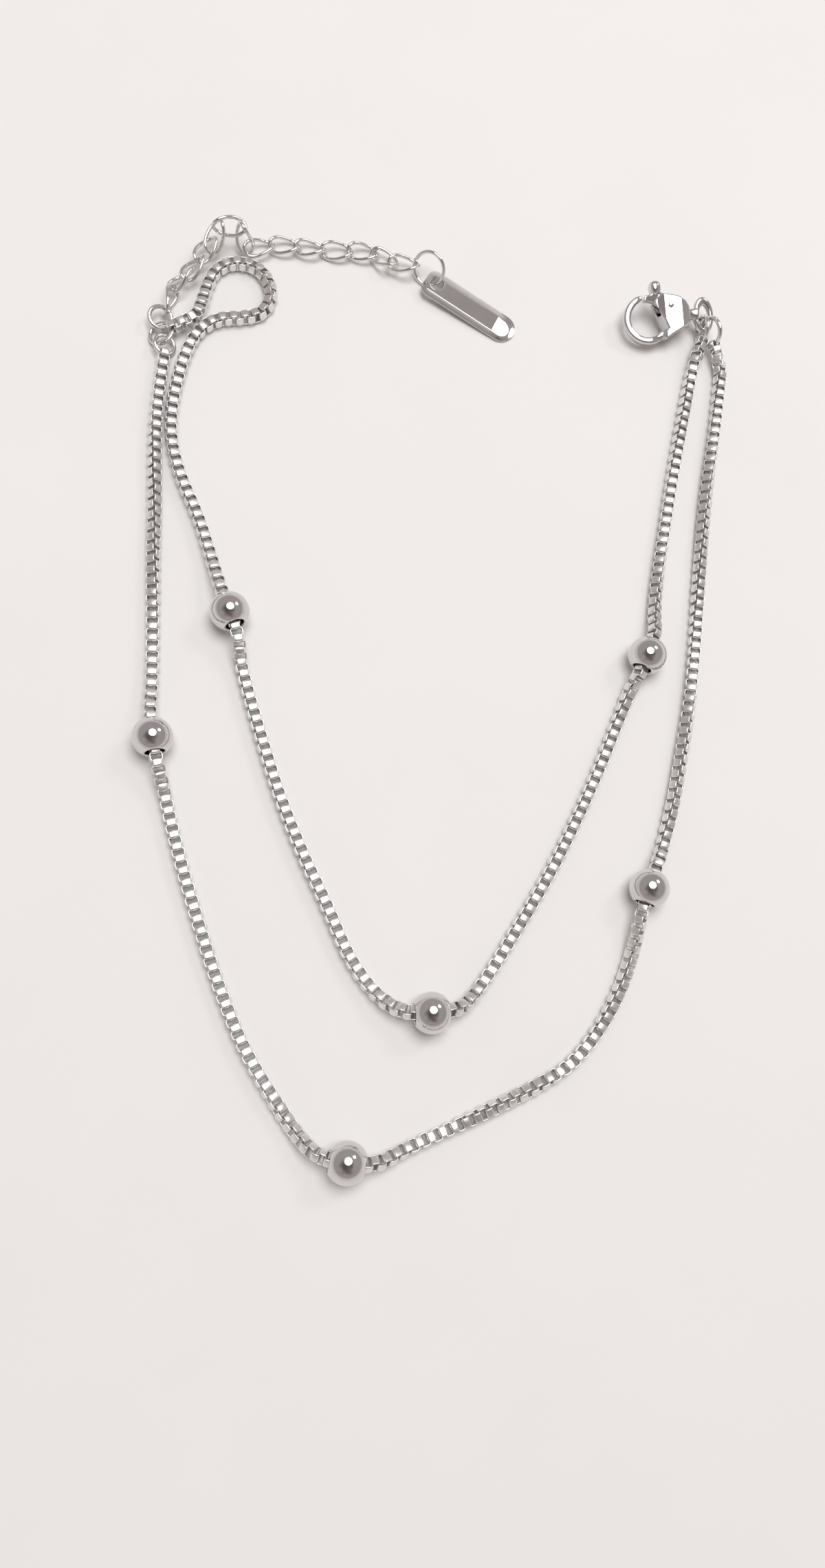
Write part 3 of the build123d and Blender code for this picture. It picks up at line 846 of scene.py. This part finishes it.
def hook_mesh(group):
    """The hook: a flat bar round most of a circle, blunt and a little thinner at its free end."""
    radius, width, depth = settings_mm(group, "hook_radius", "hook_width", "hook_depth")
    angles = np.radians(np.linspace(*HOOK_ANGLES, 64))
    outs = np.stack([np.cos(angles), np.sin(angles)], 1)
    middles = np.array(HOOK_CENTRE) + radius * outs
    along = np.linspace(0, 1, 64)
    blunt = 0.6 + 0.4 * np.sqrt(1 - (1 - np.clip(8 * along, 0, 1)) ** 2)
    taper = 0.86 + 0.14 * np.clip(3 * along, 0, 1)
    return section_sweep(middles, outs, width / 2 * blunt * taper, depth / 2 * blunt, fullness=0.55)


def neck_mesh():
    """The short waisted neck between the body and the eye."""
    stations = 12
    middles = [(u, -0.05) for u in np.linspace(4.9, 6.95, stations)]
    waist = np.sin(np.linspace(0, math.pi, stations))
    return section_sweep(middles, [(0.0, 1.0)] * stations, 0.86 - 0.12 * waist, 0.62 - 0.1 * waist, fullness=0.7)


def eye_mesh():
    """The oval eye: a rounded band between its outer and inner ovals."""
    stations, sides, half_depth, fullness = 72, 24, 0.43, 0.75
    points = []
    for t in circle(stations):
        ray = np.array([math.cos(t), math.sin(t)])
        outer = np.array(EYE["middle"]) + ray * np.array(EYE["size"]) / 2
        inner = np.array(EYE["hole_middle"]) + ray * np.array(EYE["hole"]) / 2
        for phi in circle(sides):
            across = signed_power(math.sin(phi), fullness) * half_depth
            u, v = (outer + inner) / 2 + (outer - inner) / 2 * signed_power(math.cos(phi), fullness)
            points.append((u, v, across))
    return scratch_mesh(points, lattice(stations, sides, True, True))


def knob_mesh():
    """The thumb knob: an upright rounded lozenge."""
    rows, sides, fullness = 25, 40, 0.8
    middle, half = np.array(KNOB["middle"]), np.array(KNOB["half"])
    points = []
    for theta in np.linspace(0.02, math.pi - 0.02, rows):
        ring = signed_power(math.sin(theta), fullness)
        for phi in circle(sides):
            way = (ring * signed_power(math.cos(phi), fullness), signed_power(math.cos(theta), fullness),
                   ring * signed_power(math.sin(phi), fullness))
            points.append(middle + half * way)
    return scratch_mesh(points, capped(rows, sides))


def merged(meshes, voxel, smoothing):
    """One skin round several solids, as a casting has: fused, with small fillets where they meet."""
    build = bmesh.new()
    for mesh in meshes:
        build.from_mesh(mesh)
        bpy.data.meshes.remove(mesh)
    bmesh.ops.recalc_face_normals(build, faces=build.faces)
    joined = bpy.data.meshes.new("joined")
    build.to_mesh(joined)
    build.free()
    holder = placed("scratch", joined)
    remesh = holder.modifiers.new("skin", "REMESH")
    remesh.mode = "VOXEL"
    remesh.voxel_size = voxel
    smooth = holder.modifiers.new("polish", "SMOOTH")
    smooth.factor = 0.5
    smooth.iterations = smoothing
    return evaluated(holder)


def cut(mesh, cutters):
    """mesh with the cutters' space taken out of it."""
    holder = placed("scratch", mesh)
    tools = [placed("scratch", cutter) for cutter in cutters]
    for tool in tools:
        modifier = holder.modifiers.new("cut", "BOOLEAN")
        modifier.operation = "DIFFERENCE"
        modifier.solver = "EXACT"
        modifier.object = tool
    points, faces = evaluated(holder)
    for tool in tools:
        data = tool.data
        bpy.data.objects.remove(tool)
        bpy.data.meshes.remove(data)
    return scratch_mesh(points, faces)


def dressed_face(points):
    """Slopes the casting's upper face.

    The body's face climbs towards the eye, between a steep slope at the hook and another before the neck. The hook
    falls away from the body, more so on the gate's side.
    """
    u, v, w = points.T
    swell = 0.5 + 0.19 * np.clip(u, 0.6, 4.2) - 0.6 * np.clip(u - 4.2, 0.0, 1.3) - 0.9 * np.clip(1.75 - u, 0.0, 0.8)
    height = np.where(w > FACE_START, FACE_START + (w - FACE_START) * swell, w)
    before = np.clip(0.6 - u, 0.0, None)
    height -= (0.09 * before + 0.05 * v * np.clip(before, 0.0, 1.0)) * np.clip(height / 0.6, 0.0, 1.0)
    return np.stack([u, v, height], 1)


class ANKLET_OT_clasp_body(bpy.types.Operator):
    """Casts the clasp's hook, body, neck and eye in one, with a slot for the gate, and adds the pin"""

    bl_idname = "anklet.clasp_body"
    bl_label = "Clasp body and pin"

    def execute(self, context):
        group = context.scene.anklet_clasp
        depth, slot, pin = settings_mm(group, "depth", "slot", "pin")
        block = cut(slab(BODY_OUTLINE, depth, 0.22), [slab(SLOT_OUTLINE, slot, 0.0)])
        points, faces = merged([block, hook_mesh(group), neck_mesh(), eye_mesh()], voxel=0.07, smoothing=3)
        new_piece("clasp_casting", clasp_place(dressed_face(points)), faces, cast_steel(), None, ("clasp_body",))
        radius, face = pin / 2, depth / 2
        profile = [(0.0, -face - 0.03), (radius * 0.8, -face - 0.02), (radius, -face + 0.04), (radius, face),
                   (radius * 0.85, face + 0.05), (0.0, face + 0.055)]
        sides = 32
        points = [(PIVOT[0] + r * math.cos(a), PIVOT[1] + r * math.sin(a),
                   w + max(w, 0.0) * PIN_SLOPE * r * math.cos(a)) for a in circle(sides) for r, w in profile]
        new_piece("clasp_rivet", clasp_place(points), flipped(lattice(sides, len(profile), True, False)),
                  wire_steel(), None, ("clasp_pin",))
        return {"FINISHED"}


class ANKLET_OT_clasp_gate(bpy.types.Operator):
    """Casts the clasp's gate with its thumb knob"""

    bl_idname = "anklet.clasp_gate"
    bl_label = "Clasp gate"

    def execute(self, context):
        group = context.scene.anklet_clasp
        depth, = settings_mm(group, "gate_depth")
        points, faces = merged([slab(GATE_OUTLINE, depth, 0.14), knob_mesh()], voxel=0.05, smoothing=3)
        new_piece("clasp_lever", clasp_place(points), faces, cast_steel(), None, ("clasp_gate",),
                  body="clasp_gate")
        return {"FINISHED"}


# ---- stage ----

def lamp(name, way, distance, size, radiance):
    """A round soft lamp that faces the origin, distance metres out along way."""
    light = bpy.data.lights.new(name, "AREA")
    light.shape = "DISK"
    light.size = size
    light.energy = radiance * math.pi * (math.pi * (size / 2) ** 2)  # a flat lamp's power is pi times its area's
    light.color = LAMP_TINT
    holder = placed(name, light)
    way = Vector(way).normalized()
    holder.location = way * distance
    holder.rotation_euler = way.to_track_quat("Z", "Y").to_euler()


def room(group):
    """A dim room overhead, darkest about DARK_WAY, with a pale far wall at the horizon."""
    world = bpy.data.worlds.new("dim_room")
    world.use_nodes = True
    tree = world.node_tree
    tree.nodes.clear()
    way = add(tree, "ShaderNodeTexCoord").outputs["Generated"]
    facing = add(tree, "ShaderNodeVectorMath", {"operation": "DOT_PRODUCT", 1: Vector(DARK_WAY).normalized()},
                 {0: way})
    # The room has vague shapes in it, so that a bead mirrors a soft uneven patch and not a plain disc.
    clutter = add(tree, "ShaderNodeTexNoise", {"Scale": 1.9, "Detail": 0.5, "Roughness": 0.4}, {"Vector": way})
    uneven = add(tree, "ShaderNodeMath", {"operation": "MULTIPLY_ADD", 1: 0.5},
                 {0: clutter.outputs["Fac"], 2: facing.outputs["Value"]})
    shaded = add(tree, "ShaderNodeMapRange", {"From Min": 0.88, "From Max": 1.3, "interpolation_type": "SMOOTHSTEP"},
                 {"Value": uneven.outputs[0]})
    overhead = add(tree, "ShaderNodeMixRGB", {"Color1": colour(group.room), "Color2": colour(group.shade)},
                   {"Fac": shaded.outputs[0]})
    split = add(tree, "ShaderNodeSeparateXYZ", None, {0: way})
    low = add(tree, "ShaderNodeMapRange", {"From Min": 0.3, "From Max": 0.04, "interpolation_type": "SMOOTHSTEP"},
              {"Value": split.outputs["Z"]})
    tone = add(tree, "ShaderNodeMixRGB", {"Color2": colour(group.horizon)},
               {"Fac": low.outputs[0], "Color1": overhead.outputs[0]})
    background = add(tree, "ShaderNodeBackground", {"Strength": 1.0}, {"Color": tone.outputs[0]})
    add(tree, "ShaderNodeOutputWorld", None, {"Surface": background.outputs[0]})
    return world


def camera():
    """The camera over the anklet's lower left, looking down, tipped from the plumb line."""
    down = Vector((NADIR[0], NADIR[1], FOCAL)).normalized()
    east = (Vector((1.0, 0.0, 0.0)) - down * down.x).normalized()
    north = (-down).cross(east)
    axes = Matrix((east, north, -down))
    turn = axes @ Matrix.Diagonal((1, -1, -1))
    data = bpy.data.cameras.new("camera")
    data.sensor_fit = "AUTO"
    data.sensor_width = SENSOR
    data.lens = SENSOR * FOCAL / FRAME_LONG
    data.clip_start, data.clip_end = 0.01, 10.0
    holder = placed("camera", data)
    holder.matrix_world = Matrix.Translation(Vector(CAMERA_PLACE) * MM) @ turn.to_4x4()
    bpy.context.scene.camera = holder


class ANKLET_OT_stage(bpy.types.Operator):
    """Sets the pale floor, the two soft lamps, the dim room and the camera"""

    bl_idname = "anklet.stage"
    bl_label = "Stage"

    def execute(self, context):
        group = context.scene.anklet_stage
        mesh = bpy.data.meshes.new("floor")
        reach, level = 3.0, -0.02 * MM  # metres; just under the anklet, so that the two never coincide
        mesh.from_pydata([(-reach, -reach, level), (reach, -reach, level), (reach, reach, level),
                          (-reach, reach, level)], [], [(0, 1, 2, 3)])
        mesh.materials.append(card(group.paper))
        placed("floor", mesh)
        lamp("top_lamp", *TOP_LAMP, group.top_light)
        lamp("side_lamp", *SIDE_LAMP, group.side_light)
        context.scene.world = room(group)
        context.scene.view_settings.view_transform = "Standard"
        camera()
        return {"FINISHED"}


# ---- panel and registration ----

OPERATORS = (ANKLET_OT_strands, ANKLET_OT_beads, ANKLET_OT_rings, ANKLET_OT_extender, ANKLET_OT_tag,
             ANKLET_OT_clasp_body, ANKLET_OT_clasp_gate, ANKLET_OT_stage)


class ANKLET_PT_panel(bpy.types.Panel):
    """Lists the anklet's pieces and their settings"""

    bl_idname = "ANKLET_PT_panel"
    bl_label = "Chain anklet"
    bl_space_type = "VIEW_3D"
    bl_region_type = "UI"
    bl_category = "Anklet"

    def draw(self, context):
        for operator in OPERATORS:
            self.layout.operator(operator.bl_idname)
        for name in GROUPS:
            group = getattr(context.scene, name)
            box = self.layout.box()
            for key in group.bl_rna.properties.keys():
                if key not in ("rna_type", "name"):
                    box.prop(group, key)


def register():
    for group in GROUPS.values():
        bpy.utils.register_class(group)
    for name, group in GROUPS.items():
        setattr(bpy.types.Scene, name, bpy.props.PointerProperty(type=group))
    for operator in OPERATORS:
        bpy.utils.register_class(operator)
    bpy.utils.register_class(ANKLET_PT_panel)


def unregister():
    bpy.utils.unregister_class(ANKLET_PT_panel)
    for operator in reversed(OPERATORS):
        bpy.utils.unregister_class(operator)
    for name in GROUPS:
        delattr(bpy.types.Scene, name)
    for group in reversed(GROUPS.values()):
        bpy.utils.unregister_class(group)


def main():
    """Builds the pieces and the stage."""
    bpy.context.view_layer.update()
    register()
    bpy.ops.anklet.strands()
    bpy.ops.anklet.beads()
    bpy.ops.anklet.rings()
    bpy.ops.anklet.extender()
    bpy.ops.anklet.tag()
    bpy.ops.anklet.clasp_body()
    bpy.ops.anklet.clasp_gate()
    bpy.ops.anklet.stage()


if __name__ == "__main__":
    main()
